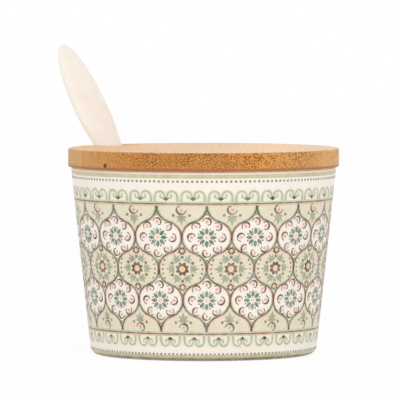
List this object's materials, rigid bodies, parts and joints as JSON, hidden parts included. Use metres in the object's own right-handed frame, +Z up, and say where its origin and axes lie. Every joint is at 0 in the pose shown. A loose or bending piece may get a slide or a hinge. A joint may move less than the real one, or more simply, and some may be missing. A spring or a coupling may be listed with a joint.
{
  "type": "honey pot",
  "caption": "Round tapered pot with a flat wooden lid that lifts off, and a spoon whose leaf-shaped handle leans out through a notch in the lid's rim.",
  "frame": {"origin": "centre of the pot's foot, on the surface that it stands on", "axes": "+Z up along the pot's axis, -Y towards the front; the spoon leans out to the back left"},
  "size_m": [0.11, 0.105, 0.1191],
  "materials": {
    "pot_moulding": "cream moulding with a satin surface and a printed band of ornament",
    "lid_wood": "bamboo board, sanded and oiled",
    "spoon_moulding": "off-white moulding with a satin surface"
  },
  "bodies": {
    "pot": {"pot": "pot_moulding"},
    "lid": {"lid": "lid_wood"},
    "spoon": {"spoon": "spoon_moulding"}
  },
  "joints": [
    {"name": "lid_lift", "type": "slide", "parent": "pot", "child": "lid", "axis": [0, 0, 1], "range_m": [0, 0.06]},
    {"name": "spoon_draw", "type": "slide", "parent": "pot", "child": "spoon", "axis": [-0.4103, 0.3604, 0.8377], "range_m": [0, 0.03]}
  ]
}
